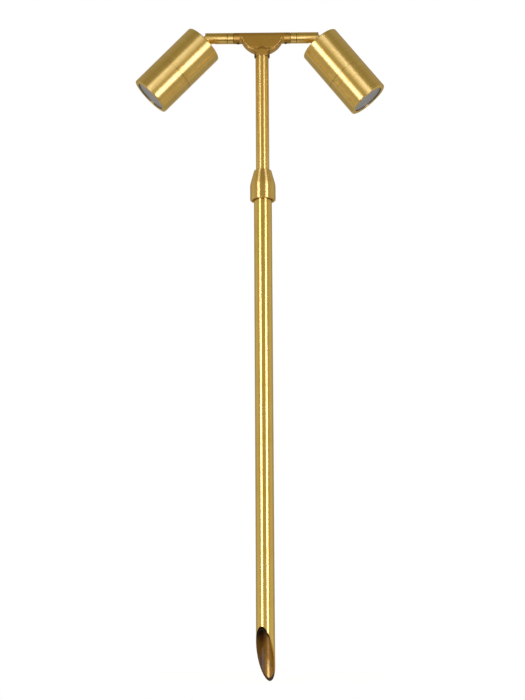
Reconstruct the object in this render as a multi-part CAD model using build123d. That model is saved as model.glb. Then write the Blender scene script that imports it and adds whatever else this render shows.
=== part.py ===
from build123d import *
import math
import os

# Garden spike light: two adjustable spot heads on a telescopic brass pole.
# Millimetres. +Z runs up the pole, +X along the arms, -Y is the front.
# The origin is on the pole's axis, level with the tip of the spike.

# ---- clearances -----------------------------------------------------------
RUN = 0.05               # radial play of a piece that turns or slides in a bore
THREAD_GAP = 0.08        # radial play between the plain cylinders of a thread
FACE_GAP = 0.1           # play between two faces that turn on each other
SEAM_GAP = 0.15          # what shows as the fine line between two turned pieces

# ---- pole -----------------------------------------------------------------
UPPER_OD = 19.05         # upper tube
UPPER_WALL = 1.25
UPPER_LENGTH = 500.0
MAST_SHOWING = 170.8     # upper tube between the collar and the bracket's neck
BUSH_WALL = 1.475        # guide bush round the foot of the upper tube
BUSH_LENGTH = 22.0
BUSH_LIP = 2.0           # lip of the bush under the tube's end
BUSH_HOLE = 14.0
BUSH_PIN_D = 3.0
LOWER_WALL = 1.65
SPIKE_LENGTH = 661.0     # tip to the underside of the collar
SPIKE_CUT = 72.0         # height of the slanted cut
SPIKE_TURN = 25.0        # degrees that the cut is turned from the front to -X

# ---- gland and collar -----------------------------------------------------
GLAND_SETBACK = 3.0      # gland body above the collar's underside
TUBE_SOCKET = 12.0       # lower tube inside the gland body
TUBE_STEP = 0.4          # the tube is turned down this deep there
GLAND_LIP = 1.0          # stop over the lower tube's end
LIP_PLAY = 0.8           # upper tube to the lip, less than the bush's wall
MOUTH_DEPTH = 6.0
MOUTH_ANGLE = 23.0       # half-angle of the cone that squeezes the collet
GLAND_WALL = 2.8
COLLET_HEAD = 4.0        # collet above the cone
COLLET_SLOT = 1.2
COLLET_SLOTS = 4
WASHER_HEIGHT = 1.2
COLLAR_WALL = 2.47       # over the thread
NOSE_LENGTH = 16.6       # collar above its inner chamber
NOSE_WALL = 2.6
NOSE_PLAY = 0.35
TAPER_LENGTH = 21.0
SHOULDER_BLEND = 26.0    # radius between the straight and the tapered part
COLLAR_CHAMFER = 1.0
SEAL_SECTION = 2.5       # wiper seal in the nose
SEAL_DOWN = 4.0          # seal groove below the collar's top

# ---- bracket --------------------------------------------------------------
BAR_D = 16.0             # bar, rings, arms and knuckles are flush
WEB_RADIUS = 32.0        # half-disc under the bar, centred on the bar's top
WEB_CHAMFER = 1.7
NECK_WALL = 1.675
NECK_BELOW = 5.7         # neck below the web's lowest point
NECK_STRAIGHT = 9.0
NECK_BLEND = 6.0         # height over which the neck fades into the web
NECK_CHAMFER = 0.5
TUBE_SEAT = 8.5          # upper tube inside the neck
WIRE_BORE = 8.0
GROMMET_LENGTH = 6.0
STUB_LENGTH = 9.0        # bar beyond the web
STUB_WALL = 2.0
EDGE = 0.45              # small chamfer at each turned joint

# ---- arms -----------------------------------------------------------------
RING_LENGTH = 9.0
ARM_LENGTH = 26.35       # ring to pivot
ARM_PAST_PIVOT = 5.4
SPIGOT_LENGTH = 17.0     # arm inside the bracket
LOCK_IN = 6.6            # lock screw from the end of the stub
LOCK_SCREW_D = 4.0
LOCK_GROOVE = 0.9        # depth of the groove that the lock screw runs in
LOCK_PROUD = 0.4         # screw below the bar
HEX_SOCKET = 2.0
SPIGOT_SEAL = 1.8        # width of the seal on the spigot
SPIGOT_SEAL_IN = 1.7     # seal from the end of the stub
SPIGOT_SEAL_DEPTH = 1.3
ARM_BORE = 6.5
ARM_BORE_STOP = 14.0     # solid arm between its bore and the pivot

# ---- knuckles -------------------------------------------------------------
LAP_GAP = 0.2            # between the two halves of the lap
KNUCKLE_SCREW_D = 4.0
SCREW_HEAD_D = 7.0
SCREW_HEAD_HEIGHT = 2.6
SCREW_SEAT = 4.4         # head's seat from the lap's centre plane
SCREW_REACH = 6.4        # screw's end in front of the centre plane
POCKET_D = 8.4           # chamber for the wires round the screw
ARM_POCKET = 3.4
TONGUE_POCKET = 2.4
KNUCKLE_SEAL_WALL = 0.9
KNUCKLE_SEAL_SUNK = 0.6
WIRE_HOLE = 2.8
FLANGE = 1.0             # full round at the head end of the knuckle
HEAD_SET = 11.1          # pivot to the rear face of the head
STEM_D = 10.0
STEM_PAST_NUT = 1.0
NUT_FLATS = 14.0
NUT_HEIGHT = 4.0

# ---- heads ----------------------------------------------------------------
LEFT_TILT = 46.0         # degrees below the arm
RIGHT_TILT = 51.5
LAMP_D = 49.8
LAMP_LENGTH = 45.0
LAMP_PLAY = 1.0
THREAD_WALL = 1.8
SLEEVE_WALL = 2.22
REAR_LENGTH = 60.5       # rear housing that shows
SLEEVE_LENGTH = 49.85
SEAM_EDGE = 0.25         # broken edges on both sides of the seam
THREAD_LENGTH = 14.0
THREAD_RUNOUT = 2.0
REAR_WALL = 10.0
REAR_ROUND = 2.0
FRONT_WALL = 3.2         # sleeve round the glass
FRONT_RING = 6.3         # width of the ring round the glass
FRONT_LIP = 1.0
FRONT_EDGE = 0.8
SEAM_SEAL = 2.0
SEAM_SEAL_DEPTH = 1.1
GASKET_HEIGHT = 0.5
GASKET_SHOWS = 0.5       # gasket inside the ring
GLASS_HEIGHT = 4.0
GLASS_PLAY = 0.25
RETAINER_HEIGHT = 2.5
RETAINER_WALL = 2.2
LAMP_BEHIND = 2.2        # lamp behind the retainer
LAMP_RIM = 3.0
LAMP_NECK_D = 19.0
LAMP_NECK = 8.0
LAMP_PIN_D = 1.6
LAMP_PIN_LENGTH = 7.0
LAMP_PIN_APART = 5.33
HOLDER_WIDE = 18.0
HOLDER_DEEP = 12.0
HOLDER_LENGTH = 16.0
STRAP = 1.2
STRAP_WIDE = 12.0
STRAP_FOOT = 10.0
STRAP_HALF = 10.5        # half the width between the strap's legs
HOLDER_SCREW_D = 3.0
HOLDER_SCREW_HEAD = 5.4
HOLDER_SCREW_RISE = 1.8
HOLDER_SCREW_DEEP = 6.0

# ---- worked out: radii ----------------------------------------------------
UPPER_R = UPPER_OD / 2
UPPER_BORE_R = UPPER_R - UPPER_WALL
BUSH_R = UPPER_R + BUSH_WALL
LOWER_BORE_R = BUSH_R + RUN
LOWER_R = LOWER_BORE_R + LOWER_WALL
GLAND_R = LOWER_R + GLAND_WALL
TUBE_END_R = LOWER_R - TUBE_STEP
MOUTH_LOW_R = UPPER_R + LIP_PLAY
MOUTH_TOP_R = MOUTH_LOW_R + MOUTH_DEPTH * math.tan(math.radians(MOUTH_ANGLE))
COLLAR_BORE_R = GLAND_R + THREAD_GAP
COLLAR_R = COLLAR_BORE_R + COLLAR_WALL
CHAMBER_R = COLLAR_BORE_R - 1.2
NOSE_BORE_R = UPPER_R + NOSE_PLAY
NOSE_R = NOSE_BORE_R + NOSE_WALL
BAR_R = BAR_D / 2
NECK_R = UPPER_R + NECK_WALL
SOCKET_R = BAR_R - STUB_WALL
SPIGOT_R = SOCKET_R - RUN
LAMP_R = LAMP_D / 2
HOUSING_BORE_R = LAMP_R + LAMP_PLAY
SPIGOT_THREAD_R = HOUSING_BORE_R + THREAD_WALL
SLEEVE_THREAD_R = SPIGOT_THREAD_R + THREAD_GAP
HEAD_R = SLEEVE_THREAD_R + SLEEVE_WALL
CAVITY_R = HEAD_R - FRONT_WALL
OPENING_R = HEAD_R - FRONT_RING

# ---- worked out: heights on the pole ---------------------------------------
COLLAR_Z = SPIKE_LENGTH
GLAND_Z = COLLAR_Z + GLAND_SETBACK
LOWER_TOP = GLAND_Z + TUBE_SOCKET
MOUTH_Z = LOWER_TOP + GLAND_LIP
GLAND_TOP = MOUTH_Z + MOUTH_DEPTH
COLLET_TOP = GLAND_TOP + COLLET_HEAD
WASHER_Z = COLLET_TOP + FACE_GAP
WASHER_TOP = WASHER_Z + WASHER_HEIGHT
COLLAR_TOP = WASHER_TOP + NOSE_LENGTH
NECK_Z = COLLAR_TOP + MAST_SHOWING
BAR_Z = NECK_Z + NECK_BELOW + WEB_RADIUS - BAR_R
MAST_TOP = NECK_Z + TUBE_SEAT
MAST_BOTTOM = MAST_TOP - UPPER_LENGTH

# ---- worked out: places along the arm ---------------------------------------
STUB_END = WEB_RADIUS + STUB_LENGTH
RING_END = STUB_END + RING_LENGTH
PIVOT_X = RING_END + ARM_LENGTH
ARM_END = PIVOT_X + ARM_PAST_PIVOT
SPIGOT_IN = STUB_END - SPIGOT_LENGTH
LOCK_X = STUB_END - LOCK_IN
LAP_HALF = LAP_GAP / 2
LAP_STEP = PIVOT_X - BAR_R - 2 * LAP_GAP
POCKET_R = POCKET_D / 2

# ---- worked out: places along the head, from the pivot ----------------------
REAR = HEAD_SET
WALL_IN = REAR + REAR_WALL
SEAM = REAR + REAR_LENGTH
FRONT = SEAM + SEAM_GAP + SLEEVE_LENGTH
THREAD_END = SEAM + THREAD_LENGTH
GASKET_FRONT = FRONT - FRONT_LIP
GLASS_FRONT = GASKET_FRONT - GASKET_HEIGHT
GLASS_BACK = GLASS_FRONT - GLASS_HEIGHT
RETAINER_BACK = GLASS_BACK - RETAINER_HEIGHT
LAMP_FRONT = RETAINER_BACK - LAMP_BEHIND
LAMP_BASE = LAMP_FRONT - LAMP_LENGTH
HOLDER_TOP = LAMP_BASE - FACE_GAP
HOLDER_BASE = HOLDER_TOP - HOLDER_LENGTH
STEM_END = WALL_IN + NUT_HEIGHT + STEM_PAST_NUT


# ---- helpers ----------------------------------------------------------------
def turned(*profile):
    """A solid turned about Z from (radius, height) points."""
    outline = make_face(Polyline(*profile, close=True))
    return revolve(Plane.XZ * outline, Axis.Z)


def ring(outer, inner, low, high):
    return turned((inner, low), (outer, low), (outer, high), (inner, high))


def rod(radius, low, high):
    """A round bar along Z."""
    return Pos(0, 0, low) * Cylinder(radius, high - low, align=(Align.CENTER, Align.CENTER, Align.MIN))


def rod_x(radius, low, high):
    """A round bar along X."""
    return Rot(0, 90, 0) * rod(radius, low, high)


def rod_y(radius, low, high):
    """A round bar along Y."""
    return Rot(-90, 0, 0) * rod(radius, low, high)


def block(x, y, z):
    """A box from three (low, high) pairs."""
    size = [high - low for low, high in (x, y, z)]
    return Pos(x[0], y[0], z[0]) * Box(*size, align=(Align.MIN, Align.MIN, Align.MIN))


def on_arm(piece):
    """Stand a piece turned about Z on the arm's axis, pointing to +X."""
    return Pos(0, 0, BAR_Z) * Rot(0, 90, 0) * piece


def on_head(piece, tilt):
    """Put a piece made along Z from the pivot onto the head, tilted down."""
    return Pos(PIVOT_X, 0, BAR_Z) * Rot(0, 90 + tilt, 0) * piece


# ---- pole ---------------------------------------------------------------------
def lower_tube():
    """Thin tube whose foot is cut on a slant to make the spike."""
    tube = turned(
        (LOWER_BORE_R, 0),
        (LOWER_R, 0),
        (LOWER_R, GLAND_Z),
        (TUBE_END_R, GLAND_Z),
        (TUBE_END_R, LOWER_TOP),
        (LOWER_BORE_R, LOWER_TOP),
    )
    turn = math.radians(SPIKE_TURN)
    low_x = LOWER_R * math.sin(turn)
    low_y = LOWER_R * math.cos(turn)
    rise = Vector(-2 * low_x, -2 * low_y, SPIKE_CUT)
    level = Vector(-low_y, low_x, 0)
    normal = level.cross(rise)
    if normal.Z < 0:
        normal = -normal
    cut = Plane(origin=(low_x, low_y, 0), z_dir=normal)
    return tube.split(cut, keep=Keep.TOP)


def gland_body():
    """Threaded sleeve brazed to the lower tube, with the collet's cone."""
    return turned(
        (TUBE_END_R, GLAND_Z),
        (GLAND_R, GLAND_Z),
        (GLAND_R, GLAND_TOP),
        (MOUTH_TOP_R, GLAND_TOP),
        (MOUTH_LOW_R, MOUTH_Z),
        (MOUTH_LOW_R, LOWER_TOP),
        (TUBE_END_R, LOWER_TOP),
    )


def collet():
    """Split bush that grips the upper tube when the collar is tightened."""
    bore = UPPER_R + RUN
    slope = math.tan(math.radians(MOUTH_ANGLE))
    foot_z = MOUTH_Z + FACE_GAP
    foot_r = MOUTH_LOW_R + FACE_GAP * slope - FACE_GAP
    head_r = MOUTH_TOP_R - FACE_GAP
    bush = turned(
        (bore, foot_z), (foot_r, foot_z), (head_r, GLAND_TOP), (head_r, COLLET_TOP), (bore, COLLET_TOP)
    )
    for number in range(COLLET_SLOTS):
        top = COLLET_TOP + 1 if number == 0 else GLAND_TOP + COLLET_HEAD / 2
        slot = block((0, head_r + 1), (-COLLET_SLOT / 2, COLLET_SLOT / 2), (foot_z - 1, top))
        bush -= Rot(0, 0, 360 / COLLET_SLOTS * number) * slot
    return bush


def thrust_washer():
    return ring(MOUTH_TOP_R + RUN, UPPER_R + NOSE_PLAY, WASHER_Z, WASHER_TOP)


def collar():
    """Bullet-shaped compression nut."""
    taper_z = COLLAR_TOP - TAPER_LENGTH
    step_z = GLAND_TOP + FACE_GAP
    outline = make_face(
        Polyline(
            (COLLAR_BORE_R, COLLAR_Z),
            (COLLAR_R - COLLAR_CHAMFER, COLLAR_Z),
            (COLLAR_R, COLLAR_Z + COLLAR_CHAMFER),
            (COLLAR_R, taper_z),
            (NOSE_R, COLLAR_TOP - EDGE),
            (NOSE_R - EDGE, COLLAR_TOP),
            (NOSE_BORE_R, COLLAR_TOP),
            (NOSE_BORE_R, WASHER_TOP),
            (CHAMBER_R, WASHER_TOP),
            (CHAMBER_R, step_z),
            (COLLAR_BORE_R, step_z),
            close=True,
        )
    )
    shoulder = outline.vertices().sort_by_distance((COLLAR_R, taper_z, 0))[0]
    outline = fillet(shoulder, SHOULDER_BLEND)
    nut = revolve(Plane.XZ * outline, Axis.Z)
    groove_top = COLLAR_TOP - SEAL_DOWN
    return nut - ring(UPPER_R + SEAL_SECTION, NOSE_BORE_R - 1, groove_top - SEAL_SECTION, groove_top)


def wiper_seal():
    top = COLLAR_TOP - SEAL_DOWN
    return ring(UPPER_R + SEAL_SECTION, UPPER_R + RUN, top - SEAL_SECTION, top)


def pin_hole():
    """Cross hole for the pins of the guide bush."""
    height = MAST_BOTTOM + BUSH_LENGTH / 2
    return Pos(0, 0, height) * rod_x(BUSH_PIN_D / 2, -BUSH_R, BUSH_R)


def upper_tube():
    return ring(UPPER_R, UPPER_BORE_R, MAST_BOTTOM, MAST_TOP) - pin_hole()


def guide_bush():
    """Bush that steadies the upper tube and stops it from pulling out."""
    low = MAST_BOTTOM - BUSH_LIP
    bush = turned(
        (BUSH_HOLE / 2, low),
        (BUSH_R, low),
        (BUSH_R, low + BUSH_LENGTH),
        (UPPER_R, low + BUSH_LENGTH),
        (UPPER_R, MAST_BOTTOM),
        (BUSH_HOLE / 2, MAST_BOTTOM),
    )
    return bush - pin_hole()


def bush_pins():
    """Two short pins that hold the bush and leave the tube clear for the wires."""
    return pin_hole() & ring(BUSH_R, UPPER_BORE_R, MAST_BOTTOM, MAST_BOTTOM + BUSH_LENGTH)


def wire_grommet():
    return ring(UPPER_BORE_R, WIRE_BORE / 2, MAST_TOP - GROMMET_LENGTH, MAST_TOP)


# ---- bracket --------------------------------------------------------------------
def web():
    """Half-disc whose top is rounded to the bar, with chamfered rims."""
    disc = rod_y(WEB_RADIUS, -BAR_R, BAR_R)
    disc = Pos(0, 0, BAR_R) * chamfer(disc.edges().filter_by(GeomType.CIRCLE), WEB_CHAMFER)
    low = -WEB_RADIUS
    profile = make_face(
        [
            ThreePointArc((BAR_R, 0), (0, BAR_R), (-BAR_R, 0)),
            Polyline((-BAR_R, 0), (-BAR_R, low), (BAR_R, low), (BAR_R, 0)),
        ]
    )
    bar = extrude(Plane.YZ * profile, WEB_RADIUS, both=True)
    return disc & bar


def bracket():
    """One casting: bar, web and neck, bored for the wires, the arms and the tube."""
    half_bar = turned((0, 0), (BAR_R, 0), (BAR_R, STUB_END - EDGE), (BAR_R - EDGE, STUB_END), (0, STUB_END))
    bar = Rot(0, 90, 0) * half_bar + Rot(0, -90, 0) * half_bar
    body = Pos(0, 0, BAR_Z) * (bar + web())
    body += turned(
        (0, NECK_Z),
        (NECK_R - NECK_CHAMFER, NECK_Z),
        (NECK_R, NECK_Z + NECK_CHAMFER),
        (NECK_R, NECK_Z + NECK_STRAIGHT),
        (BAR_R, NECK_Z + NECK_STRAIGHT + NECK_BLEND),
        (BAR_R - 1, BAR_Z),
        (0, BAR_Z),
    )
    body -= rod(UPPER_R, NECK_Z - 1, MAST_TOP)
    body -= rod(WIRE_BORE / 2, MAST_TOP - 1, BAR_Z)
    body -= Pos(0, 0, BAR_Z) * rod_x(WIRE_BORE / 2, -SPIGOT_IN, SPIGOT_IN)
    for side in (-1, 1):
        body -= Pos(0, 0, BAR_Z) * Rot(0, 90 * side, 0) * rod(SOCKET_R, SPIGOT_IN - FACE_GAP, STUB_END + 1)
        body -= Pos(side * LOCK_X, 0, BAR_Z) * rod(LOCK_SCREW_D / 2, -BAR_R - 1, 0)
    return body


def lock_screw():
    """Hexagon-socket grub screw, standing a little proud under the bar."""
    low = BAR_Z - BAR_R - LOCK_PROUD
    top = BAR_Z - SPIGOT_R + LOCK_GROOVE - RUN
    socket = extrude(RegularPolygon(HEX_SOCKET / 2, 6, major_radius=False), (top - low) / 2)
    return rod(LOCK_SCREW_D / 2, low, top) - Pos(0, 0, low) * socket


def arm_lock_screws():
    return Compound([Pos(side * LOCK_X, 0, 0) * lock_screw() for side in (-1, 1)])


# ---- right arm; the left one is its mirror image ----------------------------------
def arm_ring():
    """Ring between the bracket and the arm, on the arm's spigot."""
    low = STUB_END + SEAM_GAP
    high = RING_END
    return on_arm(
        turned(
            (SPIGOT_R, low),
            (BAR_R - EDGE, low),
            (BAR_R, low + EDGE),
            (BAR_R, high - EDGE),
            (BAR_R - EDGE, high),
            (SPIGOT_R, high),
        )
    )


def arm():
    """Turned arm: spigot with two grooves, and the front half of the knuckle's lap."""
    groove_low = LOCK_X - LOCK_SCREW_D / 2 - RUN
    groove_high = LOCK_X + LOCK_SCREW_D / 2 + RUN
    seal_high = STUB_END - SPIGOT_SEAL_IN
    seal_low = seal_high - SPIGOT_SEAL
    body = turned(
        (0, SPIGOT_IN),
        (SPIGOT_R, SPIGOT_IN),
        (SPIGOT_R, RING_END),
        (BAR_R - EDGE, RING_END),
        (BAR_R, RING_END + EDGE),
        (BAR_R, ARM_END),
        (0, ARM_END),
    )
    body -= ring(SPIGOT_R + 1, SPIGOT_R - LOCK_GROOVE, groove_low, groove_high)
    body -= ring(SPIGOT_R + 1, SPIGOT_R - SPIGOT_SEAL_DEPTH, seal_low, seal_high)
    body -= rod(ARM_BORE / 2, SPIGOT_IN - 1, PIVOT_X - ARM_BORE_STOP)
    body = on_arm(body)
    body -= block((LAP_STEP, ARM_END + 1), (-LAP_HALF, BAR_R + 1), (BAR_Z - BAR_R - 1, BAR_Z + BAR_R + 1))
    at_pivot = Pos(PIVOT_X, 0, BAR_Z)
    body -= at_pivot * rod_y(POCKET_R, -ARM_POCKET, 0)
    body -= at_pivot * rod_y(KNUCKLE_SCREW_D / 2, -SCREW_REACH, 0)
    hole_y = -LAP_HALF - WIRE_HOLE / 2 - ARM_POCKET / 3
    hole = rod_x(WIRE_HOLE / 2, PIVOT_X - ARM_BORE_STOP - 1, PIVOT_X - KNUCKLE_SCREW_D / 2 - FACE_GAP)
    return body - Pos(0, hole_y, BAR_Z) * hole


def spigot_seal():
    high = STUB_END - SPIGOT_SEAL_IN
    return on_arm(ring(SOCKET_R - RUN / 2, SPIGOT_R - SPIGOT_SEAL_DEPTH, high - SPIGOT_SEAL, high))


# ---- right knuckle -----------------------------------------------------------------
def knuckle(tilt):
    """Rear half of the lap, with the stem that screws into the head."""
    bar = rod(BAR_R, -BAR_R, REAR)
    bar -= block((-BAR_R - 1, BAR_R + 1), (-BAR_R - 1, LAP_HALF), (-BAR_R - 1, REAR - FLANGE))
    nose = rod_y(BAR_R, 0, BAR_R) + block((-BAR_R, BAR_R), (-BAR_R, BAR_R), (0, REAR))
    body = bar & nose
    body += rod(STEM_D / 2, REAR, STEM_END)
    body -= rod(ARM_BORE / 2, REAR - FLANGE / 2, STEM_END + 1)
    body -= rod_y(POCKET_R, 0, TONGUE_POCKET)
    body -= rod_y(POCKET_R + KNUCKLE_SEAL_WALL, 0, LAP_HALF + KNUCKLE_SEAL_SUNK)
    body -= rod_y(KNUCKLE_SCREW_D / 2 + RUN, 0, BAR_R)
    body -= rod_y(SCREW_HEAD_D / 2 + RUN, SCREW_SEAT, BAR_R + 1)
    hole_y = LAP_HALF + KNUCKLE_SEAL_SUNK / 2 + WIRE_HOLE / 2 + LAP_HALF
    body -= Pos(0, hole_y, 0) * rod(WIRE_HOLE / 2, KNUCKLE_SCREW_D / 2 + 3 * FACE_GAP, REAR)
    return on_head(body, tilt)


def knuckle_seal(tilt):
    high = LAP_HALF + KNUCKLE_SEAL_SUNK
    seal = rod_y(POCKET_R + KNUCKLE_SEAL_WALL, -LAP_HALF + RUN, high)
    return on_head(seal - rod_y(POCKET_R, -1, BAR_R), tilt)


def knuckle_screw():
    """Low-head socket screw, put in from the back and tapped into the arm."""
    seat = SCREW_SEAT + RUN
    shank = rod_y(KNUCKLE_SCREW_D / 2, -SCREW_REACH, seat)
    head = rod_y(SCREW_HEAD_D / 2, seat, seat + SCREW_HEAD_HEIGHT)
    socket = extrude(RegularPolygon(HEX_SOCKET * 0.75, 6, major_radius=False), SCREW_HEAD_HEIGHT / 2)
    socket = Pos(0, seat + SCREW_HEAD_HEIGHT, 0) * Rot(90, 0, 0) * socket
    return Pos(PIVOT_X, 0, BAR_Z) * (shank + head - socket)


def stem_nut(tilt):
    blank = extrude(RegularPolygon(NUT_FLATS / 2, 6, major_radius=False), NUT_HEIGHT)
    nut = Pos(0, 0, WALL_IN) * blank - rod(STEM_D / 2, WALL_IN - 1, STEM_END)
    return on_head(nut, tilt)


# ---- right head ---------------------------------------------------------------------
def rear_housing(tilt):
    """Thick-walled cup with the male thread for the front sleeve."""
    outline = make_face(
        Polyline(
            (STEM_D / 2, REAR),
            (HEAD_R, REAR),
            (HEAD_R, SEAM - SEAM_EDGE),
            (HEAD_R - SEAM_EDGE, SEAM),
            (SPIGOT_THREAD_R, SEAM),
            (SPIGOT_THREAD_R, THREAD_END),
            (HOUSING_BORE_R, THREAD_END),
            (HOUSING_BORE_R, WALL_IN),
            (STEM_D / 2, WALL_IN),
            close=True,
        )
    )
    corner = outline.vertices().sort_by_distance((HEAD_R, REAR, 0))[0]
    outline = fillet(corner, REAR_ROUND)
    cup = revolve(Plane.XZ * outline, Axis.Z)
    cup -= ring(SPIGOT_THREAD_R + 1, SPIGOT_THREAD_R - SEAM_SEAL_DEPTH, SEAM, SEAM + SEAM_SEAL)
    for side in (-1, 1):
        cup -= Pos(side * screw_x(), 0, 0) * rod(HOLDER_SCREW_D / 2, WALL_IN - HOLDER_SCREW_DEEP, WALL_IN)
    return on_head(cup, tilt)


def seam_seal(tilt):
    seal = ring(SPIGOT_THREAD_R, SPIGOT_THREAD_R - SEAM_SEAL_DEPTH, SEAM, SEAM + SEAM_SEAL)
    return on_head(seal, tilt)


def front_sleeve(tilt):
    """Screw-on sleeve that carries the glass behind its front ring."""
    low = SEAM + SEAM_GAP
    step = THREAD_END + THREAD_RUNOUT
    sleeve = turned(
        (SLEEVE_THREAD_R, low),
        (HEAD_R - SEAM_EDGE, low),
        (HEAD_R, low + SEAM_EDGE),
        (HEAD_R, FRONT - FRONT_EDGE),
        (HEAD_R - FRONT_EDGE, FRONT),
        (OPENING_R, FRONT),
        (OPENING_R, GASKET_FRONT),
        (CAVITY_R, GASKET_FRONT),
        (CAVITY_R, step),
        (SLEEVE_THREAD_R, step),
    )
    return on_head(sleeve, tilt)


def glass_gasket(tilt):
    return on_head(ring(CAVITY_R - RUN, OPENING_R - GASKET_SHOWS, GLASS_FRONT, GASKET_FRONT), tilt)


def glass(tilt):
    return on_head(rod(CAVITY_R - GLASS_PLAY, GLASS_BACK, GLASS_FRONT), tilt)


def glass_retainer(tilt):
    outer = CAVITY_R - THREAD_GAP
    return on_head(ring(outer, outer - RETAINER_WALL, RETAINER_BACK, GLASS_BACK), tilt)


def lamp(tilt):
    """Reflector lamp with two pins, its lens set back in its rim."""
    rim = LAMP_FRONT - LAMP_RIM
    neck = LAMP_BASE + LAMP_NECK
    body = turned(
        (0, LAMP_BASE),
        (LAMP_NECK_D / 2, LAMP_BASE),
        (LAMP_NECK_D / 2, neck),
        (LAMP_R - LAMP_RIM / 2, rim),
        (LAMP_R, rim),
        (LAMP_R, LAMP_FRONT),
        (LAMP_R - LAMP_RIM / 2, LAMP_FRONT),
        (LAMP_R - LAMP_RIM / 2, LAMP_FRONT - LAMP_RIM / 2),
        (0, LAMP_FRONT - LAMP_RIM / 2),
    )
    for side in (-1, 1):
        pin = rod(LAMP_PIN_D / 2, LAMP_BASE - LAMP_PIN_LENGTH, LAMP_BASE)
        body += Pos(side * LAMP_PIN_APART / 2, 0, 0) * pin
    return on_head(body, tilt)


def lamp_holder(tilt):
    """Ceramic block that the lamp's pins push into."""
    half_wide = HOLDER_WIDE / 2
    half_deep = HOLDER_DEEP / 2
    body = block((-half_wide, half_wide), (-half_deep, half_deep), (HOLDER_BASE, HOLDER_TOP))
    for side in (-1, 1):
        hole = rod(LAMP_PIN_D / 2 + RUN, HOLDER_TOP - LAMP_PIN_LENGTH, HOLDER_TOP)
        body -= Pos(side * LAMP_PIN_APART / 2, 0, 0) * hole
    return on_head(body, tilt)


def screw_x():
    """How far each strap screw stands from the head's axis."""
    return STRAP_HALF + STRAP + STRAP_FOOT / 2


def holder_strap(tilt):
    """Bent steel strap that carries the lamp holder over the nut."""
    foot = STRAP_HALF + STRAP + STRAP_FOOT
    half = [
        (0, HOLDER_BASE),
        (STRAP_HALF + STRAP, HOLDER_BASE),
        (STRAP_HALF + STRAP, WALL_IN + STRAP),
        (foot, WALL_IN + STRAP),
        (foot, WALL_IN),
        (STRAP_HALF, WALL_IN),
        (STRAP_HALF, HOLDER_BASE - STRAP),
        (0, HOLDER_BASE - STRAP),
    ]
    face = make_face(Polyline(*half, close=True))
    strap = extrude(Plane.XZ * face, STRAP_WIDE / 2, both=True)
    strap += mirror(strap, Plane.YZ)
    for side in (-1, 1):
        strap -= Pos(side * screw_x(), 0, 0) * rod(HOLDER_SCREW_D / 2, WALL_IN, WALL_IN + STRAP)
    strap -= rod(ARM_BORE / 2, HOLDER_BASE - STRAP, HOLDER_BASE)
    return on_head(strap, tilt)


def holder_screws(tilt):
    seat = WALL_IN + STRAP
    shank = rod(HOLDER_SCREW_D / 2, WALL_IN - HOLDER_SCREW_DEEP, seat)
    screw = shank + rod(HOLDER_SCREW_HEAD / 2, seat, seat + HOLDER_SCREW_RISE)
    pair = [on_head(Pos(side * screw_x(), 0, 0) * screw, tilt) for side in (-1, 1)]
    return Compound(pair)


# ---- assembly ---------------------------------------------------------------------------
def pole_parts():
    return {
        "lower_tube": lower_tube(),
        "gland_body": gland_body(),
        "collet": collet(),
        "thrust_washer": thrust_washer(),
        "collar": collar(),
        "wiper_seal": wiper_seal(),
        "upper_tube": upper_tube(),
        "guide_bush": guide_bush(),
        "bush_pins": bush_pins(),
        "wire_grommet": wire_grommet(),
        "bracket": bracket(),
        "arm_lock_screws": arm_lock_screws(),
    }


def side_parts(tilt):
    """Arm, knuckle and head of the right side, the head tilted down by tilt degrees."""
    return {
        "arm_ring": arm_ring(),
        "arm": arm(),
        "spigot_seal": spigot_seal(),
        "knuckle": knuckle(tilt),
        "knuckle_seal": knuckle_seal(tilt),
        "knuckle_screw": knuckle_screw(),
        "stem_nut": stem_nut(tilt),
        "rear_housing": rear_housing(tilt),
        "seam_seal": seam_seal(tilt),
        "holder_strap": holder_strap(tilt),
        "holder_screws": holder_screws(tilt),
        "lamp_holder": lamp_holder(tilt),
        "lamp": lamp(tilt),
        "front_sleeve": front_sleeve(tilt),
        "glass_gasket": glass_gasket(tilt),
        "glass": glass(tilt),
        "glass_retainer": glass_retainer(tilt),
    }


def all_parts():
    parts = pole_parts()
    for name, piece in side_parts(RIGHT_TILT).items():
        parts["right_" + name] = piece
    for name, piece in side_parts(LEFT_TILT).items():
        parts["left_" + name] = mirror(piece, Plane.YZ)
    return parts


os.makedirs("parts", exist_ok=True)
for node, piece in all_parts().items():
    export_step(piece, f"parts/{node}.step")
print("pivot", round(PIVOT_X, 2), "bar height", round(BAR_Z, 2), "head radius", round(HEAD_R, 3))
print("collar", round(COLLAR_Z, 2), round(COLLAR_TOP, 2), "radius", round(COLLAR_R, 3), round(NOSE_R, 3))
print("pole radius", round(LOWER_R, 3), "neck", round(NECK_Z, 2), "head length", round(FRONT - REAR, 2))
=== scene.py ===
"""Looks of a brass garden spike light with two heads on a telescopic pole."""
import math

import bpy
from mathutils import Matrix, Vector

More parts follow.
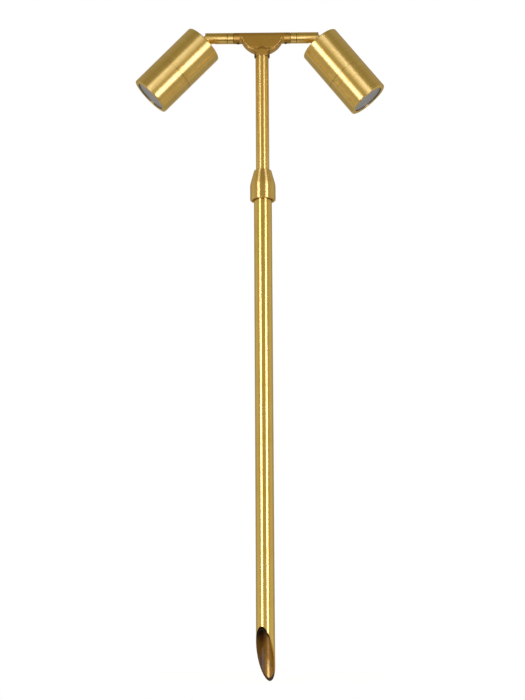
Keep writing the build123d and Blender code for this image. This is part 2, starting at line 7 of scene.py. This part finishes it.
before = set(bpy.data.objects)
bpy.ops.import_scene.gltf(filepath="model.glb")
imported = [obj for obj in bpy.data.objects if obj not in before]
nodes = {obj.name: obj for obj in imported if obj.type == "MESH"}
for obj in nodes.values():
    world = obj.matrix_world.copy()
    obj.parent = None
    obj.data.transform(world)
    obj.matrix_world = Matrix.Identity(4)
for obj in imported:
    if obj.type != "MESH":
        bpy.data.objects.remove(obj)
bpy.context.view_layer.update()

# Places in metres and angles in degrees, as the CAD has them.
BAR_Z = 0.9054                  # axis of the bar and the arms
PIVOT_X = 0.07635               # the knuckles
JOINTS = (0.0411, 0.0501)       # both ends of the arm rings
SEAM = 0.07168                  # the seam of a head, along its axis from the knuckle
WEB_END = (0.0315, 0.0325)      # outside this the bar stands clear of the web
NECK_FADE = (0.8875, 0.8905)    # height at which the neck runs into the web
NECK_FOOT = 0.8757
NECK_R = 0.0112
SPIKE_BORE = 0.01105
SPIKE_CUT = (-0.399, -0.855, -0.333)    # which way the slanted cut faces
TILT = {"left": 46.0, "right": 51.5}
SIGN = {"left": -1, "right": 1}

# Base colours of the brass.
TUBE = (0.83, 0.60, 0.215)
SPIKE = (0.81, 0.59, 0.19)
SHELL = (0.86, 0.64, 0.24)
POLISHED = (0.84, 0.61, 0.23)
CASTING = (0.64, 0.405, 0.115)

# What tarnish and dirt in joints leave of a base colour, and the painted shade: in hollows, on the
# neck's sides and round its foot.
TARNISHED = (0.90, 0.83, 0.66)
HOLLOW_SHADE = (0.14, 0.10, 0.07)
DIRTY = (0.10, 0.07, 0.05)
FLANK_SHADE = (0.40, 0.34, 0.15)
FOOT_SHADOW = (0.12, 0.10, 0.04)


# ---- node trees ---------------------------------------------------------------
class Tree:
    """A small helper for node trees."""

    def __init__(self, tree):
        self.tree = tree
        tree.nodes.clear()

    def node(self, kind, **settings):
        made = self.tree.nodes.new(kind)
        for key, value in settings.items():
            setattr(made, key, value)
        return made

    def link(self, out, into):
        self.tree.links.new(out, into)

    def put(self, socket, value):
        """Links a socket to value, or sets it to value."""
        if isinstance(value, bpy.types.NodeSocket):
            self.link(value, socket)
        elif isinstance(value, tuple) and len(value) == 3 and socket.type == "RGBA":
            socket.default_value = (*value, 1.0)
        else:
            socket.default_value = value

    def math(self, operation, *values):
        made = self.node("ShaderNodeMath", operation=operation)
        for socket, value in zip(made.inputs, values):
            self.put(socket, value)
        return made.outputs[0]

    def size(self, value):
        return self.math("ABSOLUTE", value)

    def times(self, a, b):
        return self.math("MULTIPLY", a, b)

    def times_add(self, a, b, c):
        return self.math("MULTIPLY_ADD", a, b, c)

    def dot(self, a, b):
        made = self.node("ShaderNodeVectorMath", operation="DOT_PRODUCT")
        self.put(made.inputs[0], a)
        self.put(made.inputs[1], b)
        return made.outputs["Value"]

    def step(self, value, low, high, at_low=0.0, at_high=1.0):
        """A smooth step from at_low to at_high."""
        made = self.node("ShaderNodeMapRange", interpolation_type="SMOOTHSTEP")
        for socket, number in zip(made.inputs, (value, low, high, at_low, at_high)):
            self.put(socket, number)
        return made.outputs[0]

    def fall(self, value, low, high, at_low=1.0):
        """A smooth step from at_low down to 0."""
        return self.step(value, low, high, at_low, 0.0)

    def span(self, value, low, high, soft):
        """1 between low and high, fading to 0 over soft on both sides."""
        rise = self.step(value, low - soft, low + soft)
        return self.times(rise, self.fall(value, high - soft, high + soft))

    def mix(self, factor, a, b):
        made = self.node("ShaderNodeMix", data_type="RGBA")
        self.put(made.inputs[0], factor)
        self.put(made.inputs[6], a)
        self.put(made.inputs[7], b)
        return made.outputs[2]

    def noise(self, vector, scale, detail=2.0, rough=0.5):
        made = self.node("ShaderNodeTexNoise")
        self.put(made.inputs["Vector"], vector)
        self.put(made.inputs["Scale"], scale)
        self.put(made.inputs["Detail"], detail)
        self.put(made.inputs["Roughness"], rough)
        return made.outputs["Fac"]

    def combine(self, x, y, z):
        made = self.node("ShaderNodeCombineXYZ")
        for socket, value in zip(made.inputs, (x, y, z)):
            self.put(socket, value)
        return made.outputs[0]

    def separate(self, vector):
        made = self.node("ShaderNodeSeparateXYZ")
        self.put(made.inputs[0], vector)
        return made.outputs

    def coordinates(self, kind="Object"):
        return self.node("ShaderNodeTexCoord").outputs[kind]

    def openness(self, reach):
        """1 in the open, less in hollows narrower than reach."""
        made = self.node("ShaderNodeAmbientOcclusion", samples=4)
        made.inputs["Distance"].default_value = reach
        return made.outputs["AO"]

    def bump(self, height, strength, depth):
        made = self.node("ShaderNodeBump")
        made.inputs["Strength"].default_value = strength
        made.inputs["Distance"].default_value = depth
        self.put(made.inputs["Height"], height)
        return made

    def close(self, shader, kind="ShaderNodeOutputMaterial"):
        self.link(shader.outputs[0], self.node(kind).inputs[0])


def new_material(name):
    material = bpy.data.materials.new(name)
    material.use_nodes = True
    return material, Tree(material.node_tree)


def tinted(colour, factors):
    return tuple(c * f for c, f in zip(colour, factors))


# ---- places -------------------------------------------------------------------
def axis_frame(axis, at=(0, 0, 0)):
    """Location and rotation of a frame whose Z runs along axis."""
    return Vector(at), Vector(axis).normalized().to_track_quat("Z", "Y").to_euler()


POLE = axis_frame((0, 0, 1))
ARM = axis_frame((1, 0, 0), (0, 0, BAR_Z))
HEAD = {}
for side, sign in SIGN.items():
    turn = math.radians(TILT[side])
    HEAD[side] = axis_frame((sign * math.cos(turn), 0, -math.sin(turn)), (sign * PIVOT_X, 0, BAR_Z))


def local(t, place):
    """Coordinates in metres along and across a piece's own axis."""
    made = t.node("ShaderNodeMapping", vector_type="TEXTURE")
    t.put(made.inputs["Vector"], t.coordinates())
    made.inputs["Location"].default_value = place[0]
    made.inputs["Rotation"].default_value = place[1]
    return made.outputs[0]


# ---- brass --------------------------------------------------------------------
def tool_marks(t, lay, where, radius, x, z):
    """Fine and broad marks: rings round the axis where it is turned, grain where it is cast."""
    if lay == "turned":
        rings = t.combine(radius, t.times(x, 0.02), z)
        return t.noise(rings, 3200.0, 3.0), t.noise(rings, 500.0, 2.0)
    return t.noise(where, 1500.0, 4.0, 0.6), t.noise(where, 260.0, 3.0)


def painted_spike_inside(t, where, across, z):
    """The tube's brown inside with painted light and shade: lighter near the cut and nearly black
    towards the top, a dark patch and a lighter side, and a painted reflection streak near the tip.
    """
    # Painted shade: the brown is lighter near the cut and darker deeper in.
    low = t.fall(z, 0.020, 0.045)
    brown = t.mix(low, (0.24, 0.115, 0.012), (0.27, 0.16, 0.070))
    # Painted shade: a dark patch on one side near the cut.
    painted_shade = t.times(t.fall(z, 0.028, 0.040, 0.8), t.span(across, -0.0075, -0.0005, 0.0015))
    brown = t.mix(painted_shade, brown, (0.06, 0.035, 0.02))
    # Painted light: one side lighter.
    brown = t.mix(t.step(across, -0.004, 0.003), brown, (0.42, 0.205, 0.020))
    # Painted reflection: a bright streak near the tip.
    wear_and_glint = t.times(t.fall(z, 0.022, 0.030), t.span(across, 0.0020, 0.0050, 0.0008))
    brown = t.mix(wear_and_glint, brown, (1.0, 0.66, 0.22))
    patches = t.step(t.noise(where, 90.0, 3.0, 0.6), 0.45, 0.6, 0.0, 0.35)
    brown = t.mix(patches, brown, (0.12, 0.07, 0.03))
    # Painted shade: almost black towards the top.
    return t.mix(t.step(z, 0.054, 0.072), brown, (0.010, 0.004, 0.001))


def spike_rim(t, across, z):
    """The sawn face in brown, with painted shade: darker on one side, at the tip and towards its upper
    end.
    """
    rim = t.mix(t.step(across, -0.006, 0.004), (0.10, 0.055, 0.010), (0.36, 0.18, 0.022))
    rim = t.mix(t.step(z, 0.006, 0.020), (0.06, 0.036, 0.018), rim)
    return t.mix(t.step(z, 0.045, 0.062), rim, (0.012, 0.007, 0.003))


def neck_painted_shade(t, base, colour, neck, x, z):
    """Painted shade on the sides of the casting's neck, darker on one side, and a painted shadow round
    its foot.
    """
    away = t.size(x)
    flanks = t.math("ADD", t.step(x, 0.006, 0.0105, 0.0, 0.55), t.fall(x, -0.0105, -0.006, 0.3))
    flanks = t.times(flanks, t.fall(away, NECK_R, NECK_R + 0.0008))
    base = t.mix(t.times(neck, flanks), base, tinted(colour, FLANK_SHADE))
    foot = t.times(t.fall(z, NECK_FOOT + 0.002, NECK_FOOT + 0.004, 0.9), t.step(away, 0.0075, 0.0100))
    return t.mix(foot, base, tinted(colour, FOOT_SHADOW))


def dressed_way(t, neck, outside, x, y):
    """Which way a casting was dressed: along the bar, round the neck, up and down on the web."""
    web = t.math("SUBTRACT", t.math("SUBTRACT", 1.0, outside), neck)
    to_x = t.times_add(neck, t.times(y, -90.0), outside)
    return t.combine(to_x, t.times(neck, t.times(x, 90.0)), web)


def brass(name, place, colour, rough, marks, stretch=0.95, lay="turned", hollow_shade=(0.8, 0.006),
          edge_wear_and_glint=(0.0006, 0.45), seams=(), dirt=0.5, drips=False, sawn=False, soft=False):
    """Satin brass, turned or cast, with its marks, tarnish, painted shade in hollows and lightened
    edges.

    marks is how strongly the tool's marks show and stretch how far they draw out the
    shine. hollow_shade is how dark hollows are painted, as painted shade, and how wide they
    may be; edge_wear_and_glint is how wide edges are lightened and how brightly: worn edges
    and, where bright, a painted highlight along them. seams are places along the axis, on
    both sides of its origin, where a joint holds dirt, and drips leaves it on the lower side.
    sawn is for the spike, whose inside and sawn face carry painted light and shade, and
    soft rounds the shading of sharp edges."""
    material, t = new_material(name)
    where = local(t, place)
    x, y, z = t.separate(where)
    radius = t.math("SQRT", t.math("ADD", t.times(x, x), t.times(y, y)))
    fine, broad = tool_marks(t, lay, where, radius, x, z)
    clouds = t.noise(where, 34.0, 3.0, 0.6)
    spread = t.math("ADD", t.times(fine, 0.45), t.times(broad, 0.55))
    shade = tuple(c * (1 - 0.12 * marks) * f for c, f in zip(colour, (1.0, 0.975, 0.90)))
    bright = tuple(min(1.0, c * (1 + 0.05 * marks)) for c in colour)
    base = t.mix(t.step(spread, 0.3, 0.7), shade, bright)
    base = t.mix(t.step(clouds, 0.42, 0.75, 0.0, 0.5), base, tinted(colour, TARNISHED))
    # Painted shade: darker in hollows, as ambient occlusion finds them.
    base = t.mix(t.fall(t.openness(hollow_shade[1]), 0.3, 0.85, hollow_shade[0]), base, tinted(colour, HOLLOW_SHADE))
    edge = t.node("ShaderNodeBevel", samples=4)
    edge.inputs["Radius"].default_value = edge_wear_and_glint[0]
    flat = t.dot(edge.outputs[0], t.node("ShaderNodeNewGeometry").outputs["Normal"])
    # Lightened edges: worn edges and, where strong, a painted highlight along them.
    wear_and_glint = tuple(min(1.0, c * 1.2 + 0.13) for c in colour)
    base = t.mix(t.fall(flat, 0.90, 0.99, edge_wear_and_glint[1]), base, wear_and_glint)
    for seam in seams:
        off = t.size(t.math("SUBTRACT", t.size(z), seam))
        held = t.fall(off, 0.0002, 0.0007, dirt)
        if drips:
            held = t.times(held, t.step(y, -0.010, 0.008, 1.0, 0.1))
        base = t.mix(held, base, tinted(colour, DIRTY))
    dullness = t.times_add(clouds, 0.06, rough - 0.03)
    dullness = t.times_add(spread, -0.06 * marks, t.math("ADD", dullness, 0.03 * marks))
    shader = t.node("ShaderNodeBsdfPrincipled")
    shader.inputs["Metallic"].default_value = 1.0
    way = tuple(place[1].to_matrix() @ Vector((0, 0, 1)))
    if sawn:
        across = t.times(x, -1.0)
        inside = t.fall(radius, SPIKE_BORE, SPIKE_BORE + 0.0004)
        # Painted light and shade inside the bore and on the sawn face.
        base = t.mix(inside, base, painted_spike_inside(t, where, across, z))
        face = t.step(t.dot(t.coordinates("Normal"), SPIKE_CUT), 0.96, 0.99)
        base = t.mix(face, base, spike_rim(t, across, z))
        dullness = t.times_add(inside, 0.24, dullness)
        t.put(shader.inputs["Metallic"], t.times_add(inside, -0.7, 1.0))
    if lay == "cast":
        real_x, real_y, real_z = t.separate(t.coordinates())
        neck = t.fall(real_z, *NECK_FADE)
        outside = t.step(t.size(z), *WEB_END)
        # Painted shade on the neck's sides and a painted shadow round its foot.
        base = neck_painted_shade(t, base, colour, neck, real_x, real_z)
        dullness = t.times_add(outside, 0.20, dullness)
        way = dressed_way(t, neck, outside, real_x, real_y)
    to_world = {"vector_type": "VECTOR", "convert_from": "OBJECT", "convert_to": "WORLD"}
    tangent = t.node("ShaderNodeVectorTransform", **to_world)
    t.put(tangent.inputs[0], way)
    bump = t.bump(spread, 0.10 * marks, 0.00005)
    if soft:
        t.put(bump.inputs["Normal"], edge.outputs[0])
    shader.inputs["Anisotropic"].default_value = stretch
    t.put(shader.inputs["Tangent"], tangent.outputs[0])
    t.put(shader.inputs["Base Color"], base)
    t.put(shader.inputs["Roughness"], dullness)
    t.put(shader.inputs["Normal"], bump.outputs[0])
    t.close(shader)
    return material


# ---- other materials ----------------------------------------------------------
def plain(name, colour, rough, metal=0.0, grain=1200.0, deep=0.00004, coat=0.0):
    """Steel, rubber, ceramic or moulded plastic with its fine grain."""
    material, t = new_material(name)
    where = t.coordinates()
    fine = t.noise(where, grain, 3.0, 0.6)
    clouds = t.noise(where, 60.0, 2.0)
    base = t.mix(t.step(clouds, 0.35, 0.7), colour, tinted(colour, (0.75, 0.75, 0.75)))
    # Painted shade: darker in hollows narrower than 3 mm, as ambient occlusion finds them.
    base = t.mix(t.fall(t.openness(0.003), 0.2, 0.8, 0.5), base, tinted(colour, (0.3, 0.3, 0.3)))
    shader = t.node("ShaderNodeBsdfPrincipled")
    shader.inputs["Metallic"].default_value = metal
    shader.inputs["Coat Weight"].default_value = coat
    shader.inputs["IOR"].default_value = 1.5
    t.put(shader.inputs["Base Color"], base)
    t.put(shader.inputs["Roughness"], t.times_add(fine, 0.16, rough - 0.08))
    t.put(shader.inputs["Normal"], t.bump(fine, 0.3, deep).outputs[0])
    t.close(shader)
    return material


def frosted(name):
    """Flat toughened glass with an etched face and a little dust."""
    material, t = new_material(name)
    where = t.coordinates()
    fine = t.noise(where, 2400.0, 3.0, 0.6)
    dust = t.step(t.noise(where, 90.0, 3.0, 0.6), 0.4, 0.75, 0.0, 0.5)
    shader = t.node("ShaderNodeBsdfPrincipled")
    shader.inputs["IOR"].default_value = 1.47
    shader.inputs["Transmission Weight"].default_value = 0.35
    t.put(shader.inputs["Base Color"], t.mix(dust, (0.41, 0.44, 0.52), (0.45, 0.48, 0.56)))
    t.put(shader.inputs["Roughness"], t.times_add(fine, 0.12, 0.26))
    t.put(shader.inputs["Normal"], t.bump(fine, 0.15, 0.00002).outputs[0])
    t.close(shader)
    return material


drawn = brass("polished_tube", POLE, TUBE, 0.28, 0.15)
spike = brass("polished_spike", POLE, SPIKE, 0.28, 0.15, hollow_shade=(0.5, 0.003), sawn=True)
# The nut and the casting have strongly lightened edges, a painted highlight along them.
nut = brass("turned_nut", POLE, TUBE, 0.34, 0.6, 1.0, hollow_shade=(0.2, 0.002), edge_wear_and_glint=(0.001, 0.9), soft=True)
cast = brass("satin_casting", ARM, CASTING, 0.40, 0.9, 0.8, "cast", edge_wear_and_glint=(0.0006, 0.9), seams=JOINTS[:1],
             soft=True)
ring = brass("polished_arm", ARM, POLISHED, 0.28, 0.4, seams=JOINTS)
rubber = plain("black_rubber", (0.018, 0.018, 0.017), 0.62, grain=900.0, deep=0.00006)
black_steel = plain("black_steel", (0.055, 0.04, 0.026), 0.42, metal=0.5)
stainless = plain("stainless_steel", (0.62, 0.61, 0.59), 0.28, metal=1.0, grain=2200.0)
ceramic = plain("white_ceramic", (0.74, 0.72, 0.67), 0.34, grain=500.0, coat=0.3)
lamp_shell = plain("lamp_shell", (0.66, 0.66, 0.65), 0.30, metal=0.15, grain=700.0)
glass = frosted("etched_glass")


def give(material, *names):
    for name in names:
        for slot in nodes[name].material_slots:
            slot.material = material


give(spike, "lower_tube")
give(drawn, "upper_tube")
give(nut, "gland_body", "collar", "collet", "thrust_washer", "guide_bush")
give(cast, "bracket")
give(rubber, "wiper_seal", "wire_grommet")
give(stainless, "bush_pins")
give(black_steel, "arm_lock_screws")
for side in SIGN:
    shell = brass(side + "_polished_shell", HEAD[side], SHELL, 0.33, 0.8, 1.0, seams=(SEAM,), dirt=0.35,
                  drips=True)
    turned = brass(side + "_turned_shell", HEAD[side], SHELL, 0.30, 0.6, 0.8)
    for material, names in (
        (ring, ("arm_ring", "arm")),
        (turned, ("knuckle", "stem_nut", "glass_retainer")),
        (shell, ("rear_housing", "front_sleeve")),
        (rubber, ("spigot_seal", "knuckle_seal", "seam_seal", "glass_gasket")),
        (stainless, ("knuckle_screw", "holder_strap", "holder_screws")),
        (ceramic, ("lamp_holder",)),
        (lamp_shell, ("lamp",)),
        (glass, ("glass",)),
    ):
        give(material, *(side + "_" + name for name in names))


# ---- floor --------------------------------------------------------------------
FLOOR_RADIUS = 0.32
FLOOR_RINGS = 24
FLOOR_SIDES = 96
FLOOR_BELOW = 0.0004
FLOOR_FADE = (0.12, FLOOR_RADIUS - 0.01)    # where the floor turns clear
FLOOR_GREY = (0.30, 0.30, 0.30, 1)
FLOOR_GLOW = 0.86


def seen_rays(t):
    """1 for the rays that show the background: camera, glossy and transmission."""
    rays = t.node("ShaderNodeLightPath")
    both = t.math("MAXIMUM", rays.outputs["Is Camera Ray"], rays.outputs["Is Glossy Ray"])
    return t.math("MAXIMUM", both, rays.outputs["Is Transmission Ray"])


def disc(radius, rings, sides):
    """Points and faces of a flat disc of rings."""
    verts, faces = [(0, 0, 0)], []
    for i in range(1, rings + 1):
        for j in range(sides):
            angle = 2 * math.pi * j / sides
            verts.append((radius * i / rings * math.cos(angle), radius * i / rings * math.sin(angle), 0))
    for j in range(sides):
        faces.append((0, 1 + j, 1 + (j + 1) % sides))
    for i in range(rings - 1):
        for j in range(sides):
            a, b = 1 + i * sides + j, 1 + i * sides + (j + 1) % sides
            faces.append((a, a + sides, b + sides, b))
    return verts, faces


def pale_floor():
    """White to the camera, and grey to the light, so that it keeps the object's shadow."""
    material, t = new_material("pale_floor")
    length = t.node("ShaderNodeVectorMath", operation="LENGTH")
    t.put(length.inputs[0], t.coordinates())
    diffuse = t.node("ShaderNodeBsdfDiffuse")
    diffuse.inputs["Color"].default_value = FLOOR_GREY
    glow = t.node("ShaderNodeEmission")
    glow.inputs["Color"].default_value = (1, 1, 1, 1)
    t.put(glow.inputs["Strength"], t.times(seen_rays(t), FLOOR_GLOW))
    both = t.node("ShaderNodeAddShader")
    t.link(diffuse.outputs[0], both.inputs[0])
    t.link(glow.outputs[0], both.inputs[1])
    fade = t.node("ShaderNodeMixShader")
    t.put(fade.inputs[0], t.step(length.outputs["Value"], *FLOOR_FADE))
    t.link(both.outputs[0], fade.inputs[1])
    t.link(t.node("ShaderNodeBsdfTransparent").outputs[0], fade.inputs[2])
    t.close(fade)
    return material


def make_floor():
    mesh = bpy.data.meshes.new("floor")
    verts, faces = disc(FLOOR_RADIUS, FLOOR_RINGS, FLOOR_SIDES)
    mesh.from_pydata(verts, [], faces)
    mesh.materials.append(pale_floor())
    floor = bpy.data.objects.new("floor", mesh)
    floor.location = (0, 0, -FLOOR_BELOW)
    bpy.context.scene.collection.objects.link(floor)


make_floor()


# ---- light --------------------------------------------------------------------
STRIP_AWAY = 1.7        # from the pole
STRIP_MIDDLE = 0.425    # height of its middle
STRIP_TALL = 1.15
STRIP_LEVEL = 6.2       # how bright its face is
STRIP_COLOUR = (0.96, 1.0, 1.35)


def strip(name, azimuth, width):
    """A tall soft lamp that faces the pole, azimuth degrees to the right of the front."""
    angle = math.radians(azimuth)
    lamp = bpy.data.lights.new(name, "AREA")
    lamp.shape = "RECTANGLE"
    lamp.size = width
    lamp.size_y = STRIP_TALL
    lamp.energy = STRIP_LEVEL * math.pi * width * STRIP_TALL
    lamp.color = STRIP_COLOUR
    holder = bpy.data.objects.new(name, lamp)
    holder.location = (math.sin(angle) * STRIP_AWAY, -math.cos(angle) * STRIP_AWAY, STRIP_MIDDLE)
    facing = Vector((-math.sin(angle), math.cos(angle), 0))
    holder.rotation_euler = facing.to_track_quat("-Z", "Y").to_euler()
    bpy.context.scene.collection.objects.link(holder)
    holder.visible_camera = False


strip("strip_right", 35.5, 0.56)
strip("strip_left", -37.6, 0.54)

# What the studio looks like in the brass.
WALL_FRONT = (0.57, 0.49, 0.29)
WALL_SIDE = (0.66, 0.62, 0.52)
CEILING_FRONT = (0.27, 0.24, 0.13)
CEILING_SIDE = (0.38, 0.34, 0.23)
GROUND = (0.22, 0.18, 0.09)
WALL_BACK = (0.42, 0.38, 0.28)
BACKDROP = (math.cos(math.radians(13.0)), math.cos(math.radians(10.0)))     # its soft edge


def make_world():
    """A dim studio round the object, and a white backdrop behind it."""
    world = bpy.data.worlds.new("studio")
    bpy.context.scene.world = world
    world.use_nodes = True
    t = Tree(world.node_tree)
    x, y, z = t.separate(t.coordinates("Generated"))
    rise = t.math("DEGREES", t.math("ARCSINE", z))
    around = t.size(t.math("DEGREES", t.math("ARCTAN2", x, t.times(y, -1.0))))
    side = t.step(around, 50.0, 95.0)
    ceiling = t.mix(side, CEILING_FRONT, CEILING_SIDE)
    wall = t.mix(t.step(rise, 15.0, 45.0), t.mix(side, WALL_FRONT, WALL_SIDE), ceiling)
    wall = t.mix(t.step(rise, -70.0, -20.0), GROUND, wall)
    wall = t.mix(t.step(around, 108.0, 135.0), wall, WALL_BACK)
    white = t.times(t.step(y, *BACKDROP), seen_rays(t))
    white = t.math("MAXIMUM", white, t.node("ShaderNodeLightPath").outputs["Is Camera Ray"])
    back = t.node("ShaderNodeBackground")
    back.inputs["Strength"].default_value = 1.0
    t.put(back.inputs["Color"], t.mix(white, wall, (1.0, 1.0, 1.0)))
    t.close(back, "ShaderNodeOutputWorld")


make_world()

# ---- camera -------------------------------------------------------------------
CAMERA_AT = (0.01345, -1.77167, 0.12269)
CAMERA_PITCH = 10.352
CAMERA_YAW = -0.493
CAMERA_ROLL = -0.335
FOCAL_PIXELS = 1300
FRAME_PIXELS = 700      # the frame's longer side
SENSOR = 36             # millimetres


def make_camera():
    """Where the photograph was taken from, with its slight turn and roll."""
    pitch, yaw, roll = (math.radians(angle) for angle in (CAMERA_PITCH, CAMERA_YAW, CAMERA_ROLL))
    ahead = Vector((math.sin(yaw) * math.cos(pitch), math.cos(yaw) * math.cos(pitch), math.sin(pitch)))
    right = ahead.cross(Vector((0, 0, 1))).normalized()
    up = right.cross(ahead)
    level = math.cos(roll) * right + math.sin(roll) * up
    upward = -math.sin(roll) * right + math.cos(roll) * up
    camera = bpy.data.cameras.new("camera")
    camera.lens = FOCAL_PIXELS * SENSOR / FRAME_PIXELS
    camera.sensor_width = SENSOR
    camera.clip_end = 50
    holder = bpy.data.objects.new("camera", camera)
    turn = Matrix((level, upward, -ahead)).transposed().to_4x4()
    holder.matrix_world = Matrix.Translation(CAMERA_AT) @ turn
    bpy.context.scene.collection.objects.link(holder)
    bpy.context.scene.camera = holder


make_camera()
bpy.context.scene.view_settings.view_transform = "Standard"
